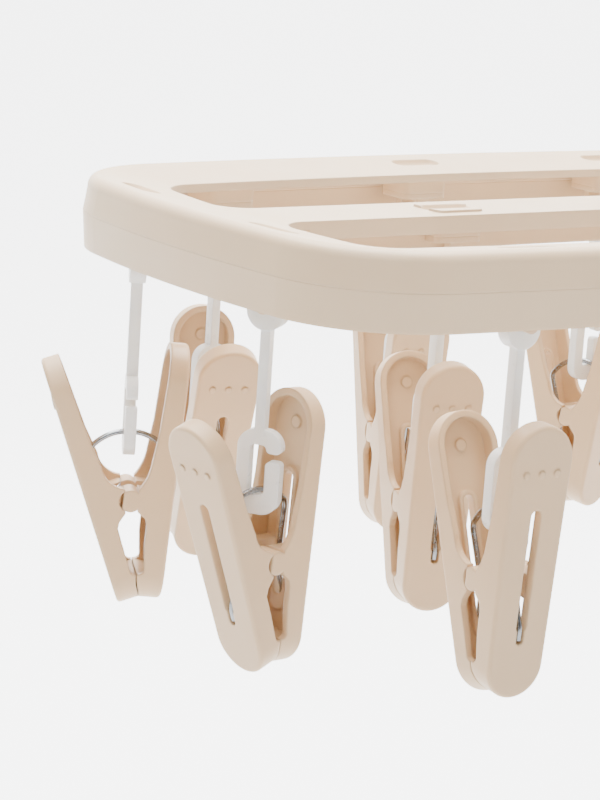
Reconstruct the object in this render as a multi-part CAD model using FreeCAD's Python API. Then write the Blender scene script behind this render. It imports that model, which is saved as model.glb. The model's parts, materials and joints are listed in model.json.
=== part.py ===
import FreeCAD, Part
import math
import os

# Clip drying hanger. Millimetres, +Z up. The origin is the centre of the hanging hook's crown,
# where the axis of the rail it hangs on lies. The frame's long side runs along X.

# frame
HALF_LENGTH = 170.0
HALF_WIDTH = 82.0
END_RADIUS = 350.0
CORNER_RADIUS = 36.0
SIDE_RADIUS = 1400.0
FRAME_TOP = -85.0
FRAME_DEPTH = 20.0
RIM_WIDTH = 24.0
RIM_DISH = 3.0
PLATE = 2.4
PARTING_Z = -9.8
SKIRT_DRAFT = 0.8
BAR_WIDTH = 22.0
BAR_WEB = 2.2
BAR_DEPTH = 14.0
OPENING_FILLET = 9.0

# link sockets under the frame's top plate
SOCKET_LENGTH = 16.0
SOCKET_WIDTH = 13.0
SOCKET_DEPTH = 11.5
CROSSBAR_DROP = 20.3
CROSSBAR_RADIUS = 1.7
LUG_WIDTH = 4.4
LUG_THICKNESS = 2.4
LUG_GAP = 5.2
DISH_LENGTH = 17.0
DISH_WIDTH = 5.6
DISH_DEPTH = 1.6

# hub in the middle of the bar
HUB_RADIUS = 13.0
HUB_TOP = FRAME_TOP + 2.0
HUB_BOTTOM = FRAME_TOP - BAR_DEPTH
STEM_RADIUS = 4.0
RUNNING_GAP = 0.08
PLAY = 0.3

# hanging hook
HOOK_INNER = 19.0
HOOK_THICK = 6.0
HOOK_WIDE = 8.0
NECK_RADIUS = 12.0
HOOK_TIP_ANGLE = 200.0
TIP_SWELL = 0.8
WASHER_THICK = 1.5
WASHER_RADIUS = 10.0
COLLAR_THICK = 3.0
CAP_RADIUS = 8.5
CAP_DEPTH = 6.0

# link: an eye, a strap and a G-shaped hook
EYE_RADIUS = 5.2
EYE_OFFSET = 1.7
EYE_THICK = 4.4
EYE_SLIT = 2.6
STRAP = 2.6
LINK_THICK = 3.2
G_TOP = -32.7
G_BOTTOM = -54.9
G_LEFT = -5.6
G_RIGHT = 6.2
G_SLOT = 4.4
G_ARM = 3.9
MOUTH_TOP = -38.6
MOUTH_BOTTOM = -40.8
WIRE_DROP = 48.7
BED_GAP = 0.3
SLOT_CORNER = 1.2

# clip
LEVER_TILT = 11.6
LEVER_LENGTH = 73.0
TIP_RADIUS = 9.4
JAW_RADIUS = 8.6
LEVER_WALL = 1.8
FLANGE = 1.9
TIP_HEIGHT = 22.6
TIP_HALF_SPREAD = 20.5
PIVOT_U = 43.7
PIVOT_V = 11.957
NOSE_RADIUS = 3.1
SPRING_GAP = 2.2
SLOT_START = 22.0
SLOT_END = 55.0
SLOT_WIDTH = 3.3
SLOT_RIM = 1.2
DOT_U = 12.5
DOT_PITCH = 4.8
DOT_RADIUS = 0.95
JAW_GAP = 0.15

# spring wire
WIRE_RADIUS = 0.8
RING_RADIUS = 13.5
LEG_V = 3.5
LEG_BEND = 5.0
LEG_END_V = 0.85
LEG_END_U = 57.2

# One entry per socket of the left half: position, then the directions of the rim, of the crossbar
# and of the clip's spread, in degrees from +X, then how far the clip leans as its ring slides in
# the link's hook. The right half mirrors it across the YZ plane.
SOCKETS = [
    (-156.5, 37.0, 84.0, -28.0, -26.0, -8.0),
    (-112.5, 65.0, 5.0, 90.0, 72.0, -9.0),
    (-156.5, -27.0, 95.0, 36.0, 8.0, -9.0),
    (-38.6, 69.0, 1.5, 90.0, 254.0, -4.0),
    (-80.0, 0.0, 0.0, 90.0, 254.0, -7.0),
    (-106.5, -65.4, -4.5, 90.0, 267.0, -8.0),
    (-38.6, -69.0, -1.5, 90.0, 84.0, -5.0),
]

V = FreeCAD.Vector
UP = V(0, 0, 1)
ORIGIN = V(0, 0, 0)
os.makedirs("parts", exist_ok=True)


def cylinder(radius, height, base, axis=UP):
    return Part.makeCylinder(radius, height, base, axis)


def box(x0, x1, y0, y1, z0, z1):
    return Part.makeBox(x1 - x0, y1 - y0, z1 - z0, V(x0, y0, z0))


def polar(centre, radius, angle):
    return centre + V(radius * math.cos(angle), radius * math.sin(angle), 0)


def save(shape, node):
    shape.exportStep(os.path.join("parts", node + ".step"))


def near_edges(shape, test):
    return [edge for edge in shape.Edges if test(edge)]


def is_vertical(edge):
    a = edge.Vertexes[0].Point
    b = edge.Vertexes[-1].Point
    return abs(a.x - b.x) < 1e-6 and abs(a.y - b.y) < 1e-6 and abs(a.z - b.z) > 1e-3


# ---- outline of the frame: end, corner and side arcs that meet on a common tangent ----

def corner_centre():
    """Centre of the corner arc in the quarter with x > 0 and y > 0."""
    end_x = HALF_LENGTH - END_RADIUS
    side_y = HALF_WIDTH - SIDE_RADIUS
    far = SIDE_RADIUS - CORNER_RADIUS
    near = END_RADIUS - CORNER_RADIUS
    span = math.hypot(end_x, side_y)
    along = (near * near - far * far + span * span) / (2 * span)
    across = math.sqrt(near * near - along * along)
    toward = V(-end_x, side_y, 0) * (1 / span)
    return V(end_x, 0, 0) + toward * along + V(-toward.y, toward.x, 0) * across


def outline_arcs():
    """Centre, radius, start angle and end angle of the eight arcs, counter-clockwise."""
    corner = corner_centre()
    side = V(0, HALF_WIDTH - SIDE_RADIUS, 0)
    end = V(HALF_LENGTH - END_RADIUS, 0, 0)
    low = math.atan2(corner.y - end.y, corner.x - end.x)
    high = math.atan2(corner.y - side.y, corner.x - side.x)
    half = math.pi
    return [
        (end, END_RADIUS, -low, low),
        (corner, CORNER_RADIUS, low, high),
        (side, SIDE_RADIUS, high, half - high),
        (V(-corner.x, corner.y, 0), CORNER_RADIUS, half - high, half - low),
        (-end, END_RADIUS, half - low, half + low),
        (-corner, CORNER_RADIUS, half + low, half + high),
        (-side, SIDE_RADIUS, half + high, 2 * half - high),
        (V(corner.x, -corner.y, 0), CORNER_RADIUS, 2 * half - high, 2 * half - low),
    ]


def outline_face(inset, z):
    edges = []
    for centre, radius, start, stop in outline_arcs():
        points = [
            polar(centre, radius - inset, angle) + V(0, 0, z)
            for angle in (start, (start + stop) / 2, stop)
        ]
        edges.append(Part.Arc(*points).toShape())
    return Part.Face(Part.Wire(edges))


def rim_section():
    """Inverted L: inset from the outline, height below the frame's top edge."""
    shoulder = 4.2
    skirt_in = 3.0
    slope = RIM_DISH / (RIM_WIDTH - shoulder)
    knee = 6.0
    knee_z = -slope * (knee - shoulder) - PLATE
    points = [
        V(SKIRT_DRAFT, 0, -FRAME_DEPTH),
        V(0, 0, PARTING_Z),
        V(1.0, 0, -3.2),
        V(shoulder, 0, 0),
        V(RIM_WIDTH, 0, -RIM_DISH),
        V(RIM_WIDTH, 0, -RIM_DISH - PLATE),
        V(knee, 0, knee_z),
        V(skirt_in, 0, knee_z - 3.0),
        V(SKIRT_DRAFT + 1.9, 0, -FRAME_DEPTH),
    ]
    edges = []
    for index, point in enumerate(points):
        following = points[(index + 1) % len(points)]
        if index == 2:
            edges.append(Part.Arc(point, V(1.9, 0, -0.85), following).toShape())
        elif index == 6:
            edges.append(Part.Arc(point, V(3.9, 0, knee_z - 0.9), following).toShape())
        else:
            edges.append(Part.LineSegment(point, following).toShape())
    return Part.Face(Part.Wire(edges))


def rim():
    section = rim_section()
    pieces = []
    for centre, radius, start, stop in outline_arcs():
        face = section.copy()
        face.rotate(ORIGIN, UP, 180)
        face.translate(V(radius, 0, FRAME_TOP))
        face.rotate(ORIGIN, UP, math.degrees(start))
        face.translate(centre)
        pieces.append(face.revolve(centre, UP, math.degrees(stop - start)))
    return pieces[0].fuse(pieces[1:])


def openings(depth, margin):
    """The two through openings beside the bar, with rounded corners."""
    inner = outline_face(RIM_WIDTH, FRAME_TOP - depth)
    block = inner.extrude(V(0, 0, depth + margin))
    strip = box(-HALF_LENGTH, HALF_LENGTH, -BAR_WIDTH / 2, BAR_WIDTH / 2,
                FRAME_TOP - depth - 1, FRAME_TOP + margin + 1)
    halves = block.cut(strip).Solids
    rounded = []
    for half in halves:
        corners = near_edges(half, lambda e: is_vertical(e)
                             and abs(abs(e.Vertexes[0].Point.y) - BAR_WIDTH / 2) < 0.01)
        rounded.append(half.makeFillet(OPENING_FILLET, corners))
    return rounded[0].fuse(rounded[1])


def bar():
    """Plate and web between the two openings, flush with the rim's inner edge."""
    top = FRAME_TOP - RIM_DISH
    plate = outline_face(RIM_WIDTH, top - PLATE).extrude(V(0, 0, PLATE))
    plate = plate.cut(openings(30.0, 10.0))
    reach = HALF_LENGTH - RIM_WIDTH + 1
    web = box(-reach, reach, -BAR_WEB / 2, BAR_WEB / 2, FRAME_TOP - BAR_DEPTH, top - PLATE / 2)
    lips = []
    for side in (-1, 1):
        y = side * (BAR_WIDTH / 2 - 0.9)
        long = reach - OPENING_FILLET - 4
        lips.append(box(-long, long, y - 0.9, y + 0.9, top - 5.0, top - PLATE / 2))
    return plate.fuse([web] + lips)


def placed(shape, x, y, z, angle):
    out = shape.copy()
    out.rotate(ORIGIN, UP, angle)
    out.translate(V(x, y, z))
    return out


def housing():
    """Box under the top plate that carries a socket, long along the rim. z is from FRAME_TOP."""
    long, half = SOCKET_LENGTH / 2, SOCKET_WIDTH / 2
    body = box(-long, long, -half, half, -SOCKET_DEPTH, -PLATE)
    return body.makeFillet(2.0, near_edges(body, is_vertical))


def crossbar():
    """Two lugs under the housing and the bar between them, which lies along local X."""
    pieces = []
    for side in (-1, 1):
        inner = side * LUG_GAP / 2
        outer = side * (LUG_GAP / 2 + LUG_THICKNESS)
        low, high = min(inner, outer), max(inner, outer)
        plate = box(low, high, -LUG_WIDTH / 2, LUG_WIDTH / 2, -CROSSBAR_DROP, -SOCKET_DEPTH + 2.0)
        end = cylinder(LUG_WIDTH / 2, LUG_THICKNESS, V(low, 0, -CROSSBAR_DROP), V(1, 0, 0))
        pieces += [plate, end]
    reach = LUG_GAP / 2 + LUG_THICKNESS / 2
    bar_piece = cylinder(CROSSBAR_RADIUS, 2 * reach, V(-reach, 0, -CROSSBAR_DROP), V(1, 0, 0))
    return bar_piece.fuse(pieces)


def recess():
    """Shallow rounded dish in the top plate above a socket, long along local X."""
    lift = 6.0
    sphere_radius = (DISH_WIDTH ** 2 / 4 + DISH_DEPTH ** 2) / (2 * DISH_DEPTH)
    reach = (DISH_LENGTH - DISH_WIDTH) / 2
    centre_z = sphere_radius - DISH_DEPTH
    body = cylinder(sphere_radius, 2 * reach, V(-reach, 0, centre_z), V(1, 0, 0))
    ends = [Part.makeSphere(sphere_radius, V(s * reach, 0, centre_z)) for s in (-1, 1)]
    return body.fuse(ends).common(box(-2 * lift, 2 * lift, -lift, lift, -lift, lift))


def all_sockets():
    """Number, x, y, the three directions and the clip's lean of every socket."""
    number = 0
    for mirrored in (False, True):
        for x, y, rim_angle, bar_angle, clip_angle, lean in SOCKETS:
            number += 1
            if mirrored:
                yield number, -x, y, 180 - rim_angle, 180 - bar_angle, 180 - clip_angle, lean
            else:
                yield number, x, y, rim_angle, bar_angle, clip_angle, lean


def top_height(x, y):
    """Height of the dished top surface above the point, for sockets on the rim and the bar."""
    if abs(y) < BAR_WIDTH / 2 and abs(x) < HALF_LENGTH - RIM_WIDTH:
        return FRAME_TOP - RIM_DISH
    return FRAME_TOP - RIM_DISH / 2


def frame():
    body = rim().fuse(bar())
    additions = []
    cuts = []
    for _, x, y, rim_angle, bar_angle, _, _ in all_sockets():
        additions.append(placed(housing(), x, y, FRAME_TOP, rim_angle))
        additions.append(placed(crossbar(), x, y, FRAME_TOP, bar_angle))
        cuts.append(placed(recess(), x, y, top_height(x, y), rim_angle))
    hub = cylinder(HUB_RADIUS, HUB_TOP - HUB_BOTTOM, V(0, 0, HUB_BOTTOM))
    rims = near_edges(hub, lambda e: e.Length > HUB_RADIUS * 5)
    additions.append(hub.makeFillet(1.5, rims))
    body = body.fuse(additions)
    bore = STEM_RADIUS + RUNNING_GAP
    cuts.append(cylinder(bore, 60.0, V(0, 0, HUB_BOTTOM - 20)))
    return body.cut(cuts).removeSplitter()


# ---- hanging hook, washer and cap ----

def hook_band(start, stop, centre, inner):
    """Rectangular band bent round an axis along Y."""
    a = V(centre.x + inner, -HOOK_WIDE / 2, centre.z)
    face = Part.Face(Part.makePolygon([
        a, a + V(HOOK_THICK, 0, 0), a + V(HOOK_THICK, HOOK_WIDE, 0), a + V(0, HOOK_WIDE, 0), a]))
    face.rotate(centre, V(0, -1, 0), start)
    return face.revolve(centre, V(0, -1, 0), stop - start)


def hanging_hook():
    mean = HOOK_INNER + HOOK_THICK / 2
    neck_z = -math.sqrt((mean + NECK_RADIUS) ** 2 - NECK_RADIUS ** 2)
    neck = V(NECK_RADIUS, 0, neck_z)
    join = math.degrees(math.atan2(neck_z, NECK_RADIUS))
    crown = hook_band(join, HOOK_TIP_ANGLE, ORIGIN, HOOK_INNER)
    bend = hook_band(180.0 + join, 180.0, neck, NECK_RADIUS - HOOK_THICK / 2)
    washer_top = HUB_TOP + PLAY + WASHER_THICK
    shank = box(-HOOK_THICK / 2, HOOK_THICK / 2, -HOOK_WIDE / 2, HOOK_WIDE / 2, washer_top, neck_z)
    tip_angle = math.radians(HOOK_TIP_ANGLE)
    tip_mean = mean + TIP_SWELL
    tip_at = V(tip_mean * math.cos(tip_angle), -HOOK_WIDE / 2, tip_mean * math.sin(tip_angle))
    tip = cylinder(HOOK_THICK / 2 + TIP_SWELL, HOOK_WIDE, tip_at, V(0, 1, 0))
    body = crown.fuse([bend, shank, tip]).removeSplitter()
    long = near_edges(body, lambda e: e.Length > 9.0)
    body = body.makeFillet(1.2, long)
    collar = cylinder(WASHER_RADIUS - 1, COLLAR_THICK, V(0, 0, washer_top))
    collar = collar.makeFillet(1.0, near_edges(collar, lambda e: e.Vertexes[0].Z > washer_top + 1))
    stem_end = HUB_BOTTOM - PLAY - CAP_DEPTH + 1.5
    stem = cylinder(STEM_RADIUS, washer_top - stem_end + 1, V(0, 0, stem_end))
    return body.fuse([collar, stem]).removeSplitter()


def hook_washer():
    base = V(0, 0, HUB_TOP + PLAY)
    disc = cylinder(WASHER_RADIUS, WASHER_THICK, base)
    return disc.cut(cylinder(STEM_RADIUS + 0.05, WASHER_THICK, base))


def retaining_cap():
    top = HUB_BOTTOM - PLAY
    body = cylinder(CAP_RADIUS, CAP_DEPTH, V(0, 0, top - CAP_DEPTH))
    body = body.makeFillet(1.6, near_edges(body, lambda e: e.Vertexes[0].Z < top - 1
                                           and e.Vertexes[-1].Z < top - 1 and len(e.Vertexes) == 1))
    return body.cut(cylinder(STEM_RADIUS + 0.05, CAP_DEPTH - 1.4, V(0, 0, top - CAP_DEPTH + 1.4)))


# ---- link: local origin at the eye's centre, face in the XZ plane, thickness along Y ----

def slab(x0, x1, z0, z1, thick, fillet):
    body = box(x0, x1, -thick / 2, thick / 2, z0, z1)
    corners = near_edges(body, lambda e: abs(e.Vertexes[0].Y - e.Vertexes[-1].Y) > thick / 2)
    return body.makeFillet(fillet, corners)


def link():
    eye = cylinder(EYE_RADIUS, EYE_THICK, V(0, -EYE_THICK / 2, -EYE_OFFSET), V(0, 1, 0))
    strap = box(-STRAP / 2, STRAP / 2, -LINK_THICK / 2, LINK_THICK / 2, G_TOP - 2, -EYE_RADIUS - 1)
    ring = slab(G_LEFT, G_RIGHT, G_BOTTOM, G_TOP, LINK_THICK, 4.6)
    wire_bed = -WIRE_DROP - WIRE_RADIUS - BED_GAP
    slot = slab(-G_SLOT / 2, G_SLOT / 2, wire_bed, G_TOP - G_ARM, LINK_THICK + 1, SLOT_CORNER)
    mouth = box(0, G_RIGHT + 1, -LINK_THICK, LINK_THICK, MOUTH_BOTTOM, MOUTH_TOP)
    hook = ring.cut(slot.fuse(mouth))
    lips = near_edges(hook, lambda e: e.Vertexes[0].X > G_SLOT / 2 - 0.1
                      and min(abs(e.Vertexes[0].Z - MOUTH_BOTTOM), abs(e.Vertexes[0].Z - MOUTH_TOP)) < 0.01
                      and abs(e.Vertexes[0].Y - e.Vertexes[-1].Y) > 1)
    hook = hook.makeFillet(1.2, lips)
    body = hook.fuse([eye, strap]).removeSplitter()
    hole = cylinder(CROSSBAR_RADIUS + RUNNING_GAP, EYE_THICK + 2, V(0, -EYE_THICK / 2 - 1, 0), V(0, 1, 0))
    slit = box(-EYE_SLIT / 2, EYE_SLIT / 2, -EYE_THICK, EYE_THICK, 0, EYE_RADIUS + 1)
    return body.cut([hole, slit])


# ---- clip levers: u runs down the outer face from the tip, v points inward, y across ----

def profile_prism(points, arcs):
    """Side profile in (u, v). arcs maps an index to the middle point of the arc that starts there."""
    edges = []
    for index, (u, v) in enumerate(points):
        nu, nv = points[(index + 1) % len(points)]
        start, stop = V(v, -15, -u), V(nv, -15, -nu)
        if index in arcs:
            mu, mv = arcs[index]
            edges.append(Part.Arc(start, V(mv, -15, -mu), stop).toShape())
        else:
            edges.append(Part.LineSegment(start, stop).toShape())
    return Part.Face(Part.Wire(edges)).extrude(V(0, 30, 0))


def plan_prism(inset, v0, v1):
    """Outline of the lever seen square on, with round ends, from depth v0 to v1."""
    top = TIP_RADIUS - inset
    low = JAW_RADIUS - inset
    top_u = TIP_RADIUS
    low_u = LEVER_LENGTH - JAW_RADIUS
    lean = math.asin((TIP_RADIUS - JAW_RADIUS) / (low_u - top_u))
    c, s = math.cos(lean), math.sin(lean)
    p1 = V(v0, top * c, -top_u - top * s)
    p2 = V(v0, low * c, -low_u - low * s)
    p3 = V(v0, -low * c, -low_u - low * s)
    p4 = V(v0, -top * c, -top_u - top * s)
    edges = [
        Part.LineSegment(p1, p2).toShape(),
        Part.Arc(p2, V(v0, 0, -low_u - low), p3).toShape(),
        Part.LineSegment(p3, p4).toShape(),
        Part.Arc(p4, V(v0, 0, -top_u + top), p1).toShape(),
    ]
    return Part.Face(Part.Wire(edges)).extrude(V(v1 - v0, 0, 0))


def slot_prism(u0, u1, width, v0, v1):
    r = width / 2
    middle = box(v0, v1, -r, r, -u1 + r, -u0 - r)
    ends = [cylinder(r, v1 - v0, V(v0, 0, -u), V(1, 0, 0)) for u in (u0 + r, u1 - r)]
    return middle.fuse(ends)


def centre_v(u):
    """Depth of the clip's middle plane below the outer face, at u."""
    return PIVOT_V - (u - PIVOT_U) * math.tan(math.radians(LEVER_TILT))


def lever(has_nose):
    window = 6.7 if has_nose else 6.2
    jaw_v = centre_v(LEVER_LENGTH) - JAW_GAP
    swell = 0.5 if has_nose else -0.5
    points = [
        (-1.0, 0.0), (-1.0, 5.1), (24.0, 6.2), (32.2, 7.2),
        (40.4, 10.0) if has_nose else (40.0, 11.4),
        (46.6, 9.6), (48.6, 7.2), (50.4, window), (56.1, window), (63.4, 5.9),
        (64.6, centre_v(64.6) - JAW_GAP + swell * 0.6),
        (69.6, centre_v(69.6) - JAW_GAP + swell * 0.4),
        (LEVER_LENGTH + 1, jaw_v), (LEVER_LENGTH + 1, 0.0),
    ]
    arcs = {3: (37.3, 8.3), 9: (64.5, 6.9), 10: (67.2, centre_v(67.2) - JAW_GAP + swell)}
    side = profile_prism(points, arcs)
    skin = plan_prism(0.0, 0.0, 14.0)
    skin = skin.makeFillet(1.0, near_edges(skin, lambda e: max(v.X for v in e.Vertexes) < 0.01))
    pivot = V(PIVOT_V, 0, -PIVOT_U)
    across = 2 * (TIP_RADIUS - 0.3)
    base = pivot - V(0, across / 2, 0)
    if has_nose:
        side = side.fuse(cylinder(NOSE_RADIUS, across, base, V(0, 1, 0)))
    else:
        side = side.cut(cylinder(NOSE_RADIUS + RUNNING_GAP, 40.0, pivot - V(0, 20, 0), V(0, 1, 0)))
    hollow = plan_prism(FLANGE, LEVER_WALL, 15.0)
    cross = box(0, 16, -10, 10, -47.0, -40.6)
    jaws = box(0, 16, -10, 10, -LEVER_LENGTH - 2, -64.6)
    bead = slot_prism(SLOT_START - SLOT_RIM, LEG_END_U + 2.2, SLOT_WIDTH + 2 * SLOT_RIM, 0, LEVER_WALL + 1.0)
    hollow = hollow.cut([cross, jaws, bead])
    body = skin.common(side).cut(hollow)
    channel = box(LEVER_WALL + 1.0, 20, -SPRING_GAP, SPRING_GAP, -LEG_END_U - 2, -30.0)
    slot = slot_prism(SLOT_START, SLOT_END, SLOT_WIDTH, -1, 6)
    pocket = slot_prism(SLOT_END - 4, LEG_END_U + 1.1, 2 * WIRE_RADIUS + 0.8, -1, LEG_END_V + WIRE_RADIUS + 0.15)
    body = body.cut([channel, slot, pocket])
    dots = [cylinder(DOT_RADIUS, LEVER_WALL, V(-0.35, k * DOT_PITCH, -DOT_U), V(1, 0, 0)) for k in (-1, 0, 1)]
    dots.append(cylinder(1.7, 0.9, V(LEVER_WALL - 0.3, 0, -9.0), V(1, 0, 0)))
    return body.fuse(dots).removeSplitter()


def at_clip(shape):
    """From lever axes to clip axes: leans the outer face and moves the tip to its place."""
    out = shape.copy()
    out.rotate(ORIGIN, V(0, 1, 0), -LEVER_TILT)
    out.translate(V(-TIP_HALF_SPREAD, 0, TIP_HEIGHT))
    return out


def clip_point(u, v):
    """Point on the clip's left leg, in clip axes."""
    tilt = math.radians(LEVER_TILT)
    x = -TIP_HALF_SPREAD + u * math.sin(tilt) + v * math.cos(tilt)
    z = TIP_HEIGHT - u * math.cos(tilt) + v * math.sin(tilt)
    return V(x, 0, z)


def spring():
    """Ring over the link's hook, bent inward to two legs that end in the levers' slots."""
    centre = V(0, 0, -RING_RADIUS)
    reach = RING_RADIUS - LEG_BEND
    low, high = 20.0, 45.0
    for _ in range(60):
        u = (low + high) / 2
        if (clip_point(u, LEG_V + LEG_BEND) - centre).Length > reach:
            low = u
        else:
            high = u
    bend = clip_point(u, LEG_V + LEG_BEND)
    outward = (bend - centre).normalize()
    on_ring = centre + outward * RING_RADIUS
    on_leg = clip_point(u, LEG_V)
    middle = bend + ((on_ring - bend).normalize() + (on_leg - bend).normalize()).normalize() * LEG_BEND
    knee = clip_point(47.0, LEG_V)
    drop = clip_point(53.4, LEG_END_V)
    end = clip_point(LEG_END_U, LEG_END_V)

    def flip(point):
        return V(-point.x, 0, point.z)

    route = [end, drop, knee, on_leg]
    left = [Part.LineSegment(a, b).toShape() for a, b in zip(route, route[1:])]
    left.append(Part.Arc(on_leg, middle, on_ring).toShape())
    right = [Part.LineSegment(flip(a), flip(b)).toShape() for a, b in zip(route, route[1:])]
    right.append(Part.Arc(flip(on_leg), flip(middle), flip(on_ring)).toShape())
    crown = Part.Arc(on_ring, ORIGIN, flip(on_ring)).toShape()
    path = Part.Wire(left + [crown] + right[::-1])
    section = Part.Wire(Part.makeCircle(WIRE_RADIUS, end, end - drop))
    return path.makePipeShell([section], True, True, 2)


def leaned(shape, angle):
    """Turns a piece of the clip about the middle of the wire's ring, in clip axes."""
    out = shape.copy()
    out.rotate(V(0, 0, -RING_RADIUS), V(0, 1, 0), angle)
    return out


def build():
    save(frame(), "frame")
    save(hanging_hook(), "hanging_hook")
    save(hook_washer(), "hook_washer")
    save(retaining_cap(), "retaining_cap")
    one_link = link()
    nose_lever = at_clip(lever(True))
    nose_lever.rotate(ORIGIN, UP, 180)
    seat_lever = at_clip(lever(False))
    one_spring = spring()
    eye_z = FRAME_TOP - CROSSBAR_DROP
    wire_z = eye_z - WIRE_DROP
    for number, x, y, _, bar_angle, clip_angle, lean in all_sockets():
        tag = "%02d" % number
        save(placed(one_link, x, y, eye_z, bar_angle - 90), "link_" + tag)
        save(placed(leaned(nose_lever, lean), x, y, wire_z, clip_angle), "nose_lever_" + tag)
        save(placed(leaned(seat_lever, lean), x, y, wire_z, clip_angle), "seat_lever_" + tag)
        save(placed(leaned(one_spring, lean), x, y, wire_z, clip_angle), "clip_spring_" + tag)


build()
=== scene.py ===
import json
import math

import bpy
from mathutils import Matrix, Vector


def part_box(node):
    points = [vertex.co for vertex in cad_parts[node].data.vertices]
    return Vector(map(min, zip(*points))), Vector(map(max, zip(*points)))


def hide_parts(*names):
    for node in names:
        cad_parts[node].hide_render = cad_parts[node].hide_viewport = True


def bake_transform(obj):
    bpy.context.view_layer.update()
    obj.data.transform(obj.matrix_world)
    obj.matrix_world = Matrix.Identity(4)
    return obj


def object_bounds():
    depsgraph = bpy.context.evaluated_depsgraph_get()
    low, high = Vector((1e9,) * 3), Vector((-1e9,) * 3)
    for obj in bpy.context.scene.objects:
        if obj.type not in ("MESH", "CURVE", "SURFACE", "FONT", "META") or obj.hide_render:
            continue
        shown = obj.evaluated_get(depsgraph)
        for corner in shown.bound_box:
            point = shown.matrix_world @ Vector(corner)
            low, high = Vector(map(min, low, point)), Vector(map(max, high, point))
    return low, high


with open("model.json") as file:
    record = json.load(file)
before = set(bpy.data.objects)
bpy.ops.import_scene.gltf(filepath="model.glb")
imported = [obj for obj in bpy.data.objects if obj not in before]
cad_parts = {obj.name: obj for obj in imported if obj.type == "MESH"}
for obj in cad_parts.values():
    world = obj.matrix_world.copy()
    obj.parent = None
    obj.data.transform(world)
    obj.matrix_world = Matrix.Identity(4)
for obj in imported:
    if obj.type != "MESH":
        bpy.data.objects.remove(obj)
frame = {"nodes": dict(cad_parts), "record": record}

CAD_BOX = [list(corner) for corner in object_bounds()]
NODES = frame["nodes"]
JOINTS = {joint["name"]: joint for joint in frame["record"]["behaviour"]["joints"]}
CLIPS = sorted(name.split("_")[-1] for name in NODES if name.startswith("link_"))
FRAME_LOW, FRAME_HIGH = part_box("frame")

# camera: the long lens looks at the frame's left end from the front left, a little above it
CAMERA_AT = Vector((-0.5017, -0.5244, 0.0100))
CAMERA_YAW = 0.6221
CAMERA_PITCH = 0.2270
CAMERA_ROLL = 0.0691
CAMERA_LENS = 110.06
CAMERA_SENSOR = 36.0

# colours, linear
BEIGE = (0.735, 0.540, 0.340)
BEIGE_CLIP = (0.690, 0.475, 0.275)
WHITE = (0.880, 0.880, 0.860)


# frame details: how far the hub stands above the rim, and the moulding's parting line below it
HUB_RISE = 0.002
PARTING_DROP = 0.0098
PARTING_HALF_WIDTH = 0.00028

# light levels
BACKDROP_GLOW = 2.60
ROOM_LIGHT = 0.20
KEY_POWER = 40.0
FILL_POWER = 7.0
TOP_POWER = 255.0


# backdrop: a floor below the clips that bends up into a wall, metres
FLOOR_DROP = 0.45
FLOOR_FRONT = -3.0
FLOOR_BACK = 1.6
BEND_RADIUS = 0.8
BEND_STEPS = 12
WALL_HEIGHT = 5.0
BACKDROP_HALF_WIDTH = 5.0


# ---- node helpers ----

class Nodes:
    """Small helper to add and join shader nodes."""

    def __init__(self, name):
        self.material = bpy.data.materials.new(name)
        self.material.use_nodes = True
        self.tree = self.material.node_tree
        self.shader = self.tree.nodes["Principled BSDF"]

    def add(self, kind, **values):
        node = self.tree.nodes.new(kind)
        for key, value in values.items():
            setattr(node, key, value)
        return node

    def join(self, source, target):
        self.tree.links.new(source, target)

    def noise(self, scale, detail=3.0, rough=0.55):
        place = self.add("ShaderNodeTexCoord")
        node = self.add("ShaderNodeTexNoise")
        node.inputs["Scale"].default_value = scale
        node.inputs["Detail"].default_value = detail
        node.inputs["Roughness"].default_value = rough
        self.join(place.outputs["Object"], node.inputs["Vector"])
        return node.outputs["Fac"]

    def remap(self, value, low, high):
        node = self.add("ShaderNodeMapRange")
        node.inputs["From Min"].default_value = 0.3
        node.inputs["From Max"].default_value = 0.7
        node.inputs["To Min"].default_value = low
        node.inputs["To Max"].default_value = high
        self.join(value, node.inputs["Value"])
        return node.outputs["Result"]

    def mix(self, factor, first, second):
        node = self.add("ShaderNodeMix", data_type="RGBA")
        node.inputs["A"].default_value = (*first, 1.0)
        node.inputs["B"].default_value = (*second, 1.0)
        self.join(factor, node.inputs["Factor"])
        return node.outputs["Result"]

    def bump(self, height, strength, distance, normal=None):
        node = self.add("ShaderNodeBump")
        node.inputs["Strength"].default_value = strength
        node.inputs["Distance"].default_value = distance
        self.join(height, node.inputs["Height"])
        if normal is not None:
            self.join(normal, node.inputs["Normal"])
        return node.outputs["Normal"]

    def soft_edges(self, radius):
        node = self.add("ShaderNodeBevel", samples=6)
        node.inputs["Radius"].default_value = radius
        return node.outputs["Normal"]


def shade(colour, amount):
    return tuple(channel * amount for channel in colour)


def groove_at(nodes, height, half_width):
    """1 on the surface, dipping to 0 in a fine horizontal line at that height."""
    place = nodes.add("ShaderNodeTexCoord")
    split = nodes.add("ShaderNodeSeparateXYZ")
    nodes.join(place.outputs["Object"], split.inputs["Vector"])
    away = nodes.add("ShaderNodeMath", operation="SUBTRACT")
    away.inputs[1].default_value = height
    nodes.join(split.outputs["Z"], away.inputs[0])
    size = nodes.add("ShaderNodeMath", operation="ABSOLUTE")
    nodes.join(away.outputs[0], size.inputs[0])
    ramp = nodes.add("ShaderNodeMapRange", interpolation_type="SMOOTHSTEP")
    ramp.inputs["From Max"].default_value = half_width
    nodes.join(size.outputs[0], ramp.inputs["Value"])
    return ramp.outputs["Result"]


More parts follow.
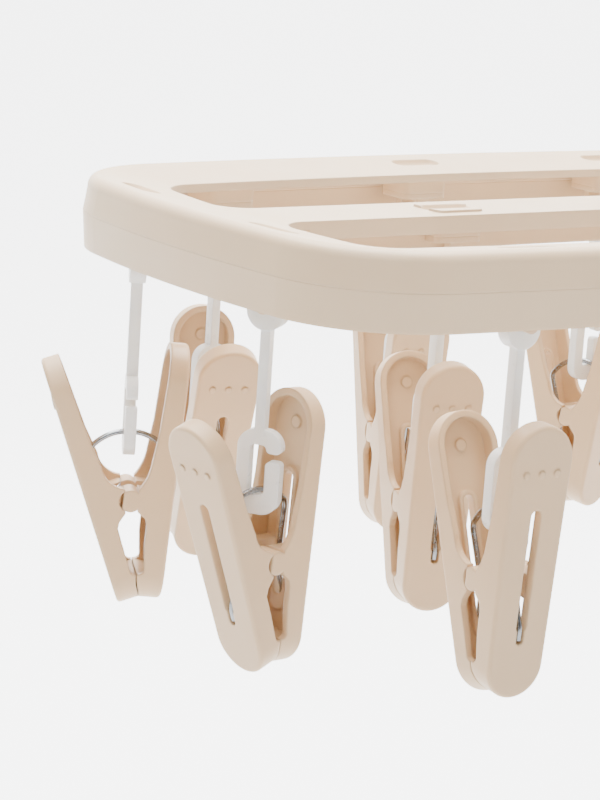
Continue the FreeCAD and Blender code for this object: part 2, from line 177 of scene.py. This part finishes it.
def moulded_plastic(name, colour, parting=None):
    """Satin polypropylene: faint flow mottling, fine grain, softened edges."""
    nodes = Nodes(name)
    shader = nodes.shader
    flow = nodes.noise(28.0, 4.0)
    tone = nodes.mix(nodes.remap(flow, 0.0, 1.0), shade(colour, 0.97), shade(colour, 1.03))
    nodes.join(tone, shader.inputs["Base Color"])
    nodes.join(nodes.remap(nodes.noise(90.0, 3.0), 0.36, 0.46), shader.inputs["Roughness"])
    shader.inputs["Subsurface Weight"].default_value = 0.12
    shader.inputs["Subsurface Radius"].default_value = (1.0, 0.7, 0.45)
    shader.inputs["Subsurface Scale"].default_value = 0.0012
    shader.inputs["IOR"].default_value = 1.49
    normal = nodes.soft_edges(0.0009)
    normal = nodes.bump(nodes.noise(2400.0, 2.0), 0.10, 0.00004, normal)
    normal = nodes.bump(nodes.noise(45.0, 2.0), 0.14, 0.0004, normal)
    if parting is not None:
        line = groove_at(nodes, parting, PARTING_HALF_WIDTH)
        normal = nodes.bump(line, 0.55, 0.00022, normal)
    nodes.join(normal, shader.inputs["Normal"])
    return nodes.material


def translucent_plastic(name):
    nodes = Nodes(name)
    shader = nodes.shader
    cloud = nodes.remap(nodes.noise(160.0, 3.0), 0.0, 1.0)
    nodes.join(nodes.mix(cloud, shade(WHITE, 0.96), WHITE), shader.inputs["Base Color"])
    nodes.join(nodes.remap(nodes.noise(300.0), 0.26, 0.36), shader.inputs["Roughness"])
    shader.inputs["Subsurface Weight"].default_value = 0.55
    shader.inputs["Subsurface Radius"].default_value = (1.0, 0.95, 0.85)
    shader.inputs["Subsurface Scale"].default_value = 0.003
    normal = nodes.soft_edges(0.0005)
    normal = nodes.bump(nodes.noise(700.0, 2.0), 0.15, 0.00005, normal)
    nodes.join(normal, shader.inputs["Normal"])
    return nodes.material


def spring_steel(name):
    nodes = Nodes(name)
    shader = nodes.shader
    tone = nodes.mix(nodes.remap(nodes.noise(500.0), 0.0, 1.0), (0.26, 0.27, 0.28), (0.40, 0.41, 0.42))
    nodes.join(tone, shader.inputs["Base Color"])
    shader.inputs["Metallic"].default_value = 1.0
    nodes.join(nodes.remap(nodes.noise(900.0), 0.16, 0.30), shader.inputs["Roughness"])
    normal = nodes.bump(nodes.noise(1800.0, 2.0), 0.2, 0.00003)
    nodes.join(normal, shader.inputs["Normal"])
    return nodes.material


def assign(obj, material):
    obj.data.materials.clear()
    obj.data.materials.append(material)


def smooth(obj):
    """Smooth shading on every face."""
    for polygon in obj.data.polygons:
        polygon.use_smooth = True


# ---- springs: one bent wire each, in place of the CAD node ----

WIRE_RADIUS = 0.0008
RING_RADIUS = 0.0135
LEVER_TILT = math.radians(11.6)
TIP = Vector((-0.0205, 0.0, 0.0226))
ARC_START = 28.0
ARC_STEPS = 9


def lever_point(u, v):
    """Point u down the left lever from its tip and v inward from its outer face, in clip axes."""
    along = Vector((math.sin(LEVER_TILT), 0.0, -math.cos(LEVER_TILT)))
    inward = Vector((math.cos(LEVER_TILT), 0.0, math.sin(LEVER_TILT)))
    return TIP + along * u + inward * v


def wire_points():
    """The wire from the end in the left lever's slot, over the crown, to the mirrored right end."""
    leg = [lever_point(u / 1000, v / 1000) for u, v in
           ((34.0, 3.3), (38.0, 3.5), (47.0, 3.4), (50.6, 2.3), (53.6, 1.0), (57.2, 0.85))]
    arc = []
    for index in range(1, ARC_STEPS):
        angle = math.radians(ARC_START + (90.0 - ARC_START) * index / ARC_STEPS)
        arc.append(Vector((-RING_RADIUS * math.cos(angle), 0.0, RING_RADIUS * (math.sin(angle) - 1.0))))
    left = list(reversed(leg)) + arc
    right = [Vector((-point.x, 0.0, point.z)) for point in reversed(left)]
    return left + [Vector((0.0, 0.0, 0.0))] + right


def clip_axes(tag):
    """Matrix from clip axes, X along the spread, to the row frame.

    The clip leans about the middle of the wire's ring, so the line from there to the levers'
    pivot, which the squeeze joint gives, is the clip's own downward axis.
    """
    wire = Vector(JOINTS["clip_swing_" + tag]["pos_m"])
    pivot = Vector(JOINTS["squeeze_" + tag]["pos_m"])
    across = Vector(JOINTS["squeeze_" + tag]["axis"]).normalized()
    ring = wire - Vector((0.0, 0.0, RING_RADIUS))
    up = (ring - pivot).normalized()
    along = across.cross(up)
    turn = Matrix((along, across, up)).transposed().to_4x4()
    return Matrix.Translation(ring) @ turn @ Matrix.Translation(Vector((0.0, 0.0, RING_RADIUS)))


def add_spring(tag, material):
    points = wire_points()
    place = clip_axes(tag)
    curve = bpy.data.curves.new("spring_wire_" + tag, "CURVE")
    curve.dimensions = "3D"
    curve.resolution_u = 6
    curve.bevel_depth = WIRE_RADIUS
    curve.bevel_resolution = 4
    curve.use_fill_caps = True
    spline = curve.splines.new("BEZIER")
    spline.bezier_points.add(len(points) - 1)
    for bezier, point in zip(spline.bezier_points, points):
        bezier.co = place @ point
        bezier.handle_left_type = "AUTO"
        bezier.handle_right_type = "AUTO"
    rough = bpy.data.objects.new("wire_guide_" + tag, curve)
    bpy.context.collection.objects.link(rough)
    mesh = bpy.data.meshes.new_from_object(rough)
    bpy.data.objects.remove(rough)
    wire = bpy.data.objects.new("spring_wire_" + tag, mesh)
    bpy.context.collection.objects.link(wire)
    smooth(wire)
    mesh.materials.clear()
    mesh.materials.append(material)
    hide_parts("clip_spring_" + tag)
    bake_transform(wire)


# ---- setting: camera, light, floor and backdrop ----

def add_camera():
    data = bpy.data.cameras.new("camera")
    data.sensor_fit = "AUTO"
    data.sensor_width = CAMERA_SENSOR
    data.lens = CAMERA_LENS
    data.clip_start = 0.05
    data.clip_end = 50.0
    forward = Vector((math.sin(CAMERA_YAW) * math.cos(CAMERA_PITCH),
                      math.cos(CAMERA_YAW) * math.cos(CAMERA_PITCH),
                      -math.sin(CAMERA_PITCH)))
    level = Vector((math.cos(CAMERA_YAW), -math.sin(CAMERA_YAW), 0.0))
    upright = level.cross(forward)
    right = level * math.cos(CAMERA_ROLL) + upright * math.sin(CAMERA_ROLL)
    up = upright * math.cos(CAMERA_ROLL) - level * math.sin(CAMERA_ROLL)
    camera = bpy.data.objects.new("camera", data)
    camera.matrix_world = Matrix.Translation(CAMERA_AT) @ Matrix((right, up, -forward)).transposed().to_4x4()
    bpy.context.collection.objects.link(camera)
    bpy.context.scene.camera = camera


def add_light(name, position, target, size, power, colour=(1.0, 1.0, 1.0)):
    data = bpy.data.lights.new(name, "AREA")
    data.shape = "RECTANGLE"
    data.size = size[0]
    data.size_y = size[1]
    data.energy = power
    data.color = colour
    light = bpy.data.objects.new(name, data)
    light.location = position
    light.rotation_mode = "QUATERNION"
    light.rotation_quaternion = (Vector(target) - Vector(position)).to_track_quat("-Z", "Y")
    bpy.context.collection.objects.link(light)


def backdrop_material():
    nodes = Nodes("glowing_backdrop_paper")
    nodes.shader.inputs["Roughness"].default_value = 0.9
    nodes.shader.inputs["Emission Color"].default_value = (1.0, 1.0, 1.0, 1.0)
    place = nodes.add("ShaderNodeTexCoord")
    split = nodes.add("ShaderNodeSeparateXYZ")
    nodes.join(place.outputs["Object"], split.inputs["Vector"])
    # painted light: the backdrop glows like a lamp, its emission rising from none in front to full strength
    # behind the clips
    glow_fade = nodes.add("ShaderNodeMapRange", interpolation_type="SMOOTHSTEP")
    glow_fade.inputs["From Min"].default_value = 0.05
    glow_fade.inputs["From Max"].default_value = 0.80
    glow_fade.inputs["To Min"].default_value = 0.0
    glow_fade.inputs["To Max"].default_value = BACKDROP_GLOW
    nodes.join(split.outputs["Y"], glow_fade.inputs["Value"])
    nodes.join(glow_fade.outputs["Result"], nodes.shader.inputs["Emission Strength"])
    paper = nodes.remap(nodes.noise(6.0), 0.0, 1.0)
    nodes.join(nodes.mix(paper, (0.86, 0.865, 0.87), (0.875, 0.88, 0.885)), nodes.shader.inputs["Base Color"])
    return nodes.material


def add_backdrop():
    """Pale floor well below the clips, curving up into a wall behind; towards the back it glows as painted
    light.
    """
    low = CAD_BOX[0][2] - FLOOR_DROP
    profile = [(FLOOR_FRONT, low), (FLOOR_BACK, low)]
    for step in range(1, BEND_STEPS + 1):
        angle = math.pi / 2 * step / BEND_STEPS
        profile.append((FLOOR_BACK + BEND_RADIUS * math.sin(angle),
                        low + BEND_RADIUS * (1 - math.cos(angle))))
    profile.append((FLOOR_BACK + BEND_RADIUS, low + WALL_HEIGHT))
    verts = [(side * BACKDROP_HALF_WIDTH, y, z) for y, z in profile for side in (-1, 1)]
    faces = [(2 * i, 2 * i + 1, 2 * i + 3, 2 * i + 2) for i in range(len(profile) - 1)]
    mesh = bpy.data.meshes.new("backdrop")
    mesh.from_pydata(verts, [], faces)
    backdrop = bpy.data.objects.new("backdrop", mesh)
    smooth(backdrop)
    mesh.materials.append(backdrop_material())
    backdrop.rotation_euler[2] = -CAMERA_YAW
    bpy.context.collection.objects.link(backdrop)


def set_world():
    world = bpy.data.worlds.new("studio")
    world.use_nodes = True
    back = world.node_tree.nodes["Background"]
    back.inputs["Color"].default_value = (1.0, 1.0, 1.0, 1.0)
    back.inputs["Strength"].default_value = ROOM_LIGHT
    bpy.context.scene.world = world


def dress():
    parting = frame_top() - PARTING_DROP
    frame_plastic = moulded_plastic("frame_polypropylene", BEIGE, parting)
    hook_plastic = moulded_plastic("hook_polypropylene", BEIGE)
    clip_plastic = moulded_plastic("clip_polypropylene", BEIGE_CLIP)
    link_plastic = translucent_plastic("link_plastic")
    steel = spring_steel("spring_wire_steel")
    for name, node in NODES.items():
        if name == "frame":
            assign(node, frame_plastic)
        elif name.startswith("link_") or name == "hook_washer":
            assign(node, link_plastic)
        elif "lever" in name:
            assign(node, clip_plastic)
        elif name.startswith("clip_spring"):
            assign(node, steel)
        else:
            assign(node, hook_plastic)
    for tag in CLIPS:
        add_spring(tag, steel)


def frame_top():
    """Height of the rim's upper edge, a little below the hub's top."""
    return FRAME_HIGH[2] - HUB_RISE


dress()
add_camera()
target = ((FRAME_LOW[0] * 0.6), 0.0, FRAME_LOW[2])
add_light("key", (-1.3, -1.0, 1.5), target, (1.6, 1.6), KEY_POWER)
add_light("fill", (1.4, -1.6, 0.3), target, (1.8, 1.8), FILL_POWER)
add_light("top", (0.2, 0.5, 2.0), target, (2.2, 2.2), TOP_POWER)
set_world()
add_backdrop()
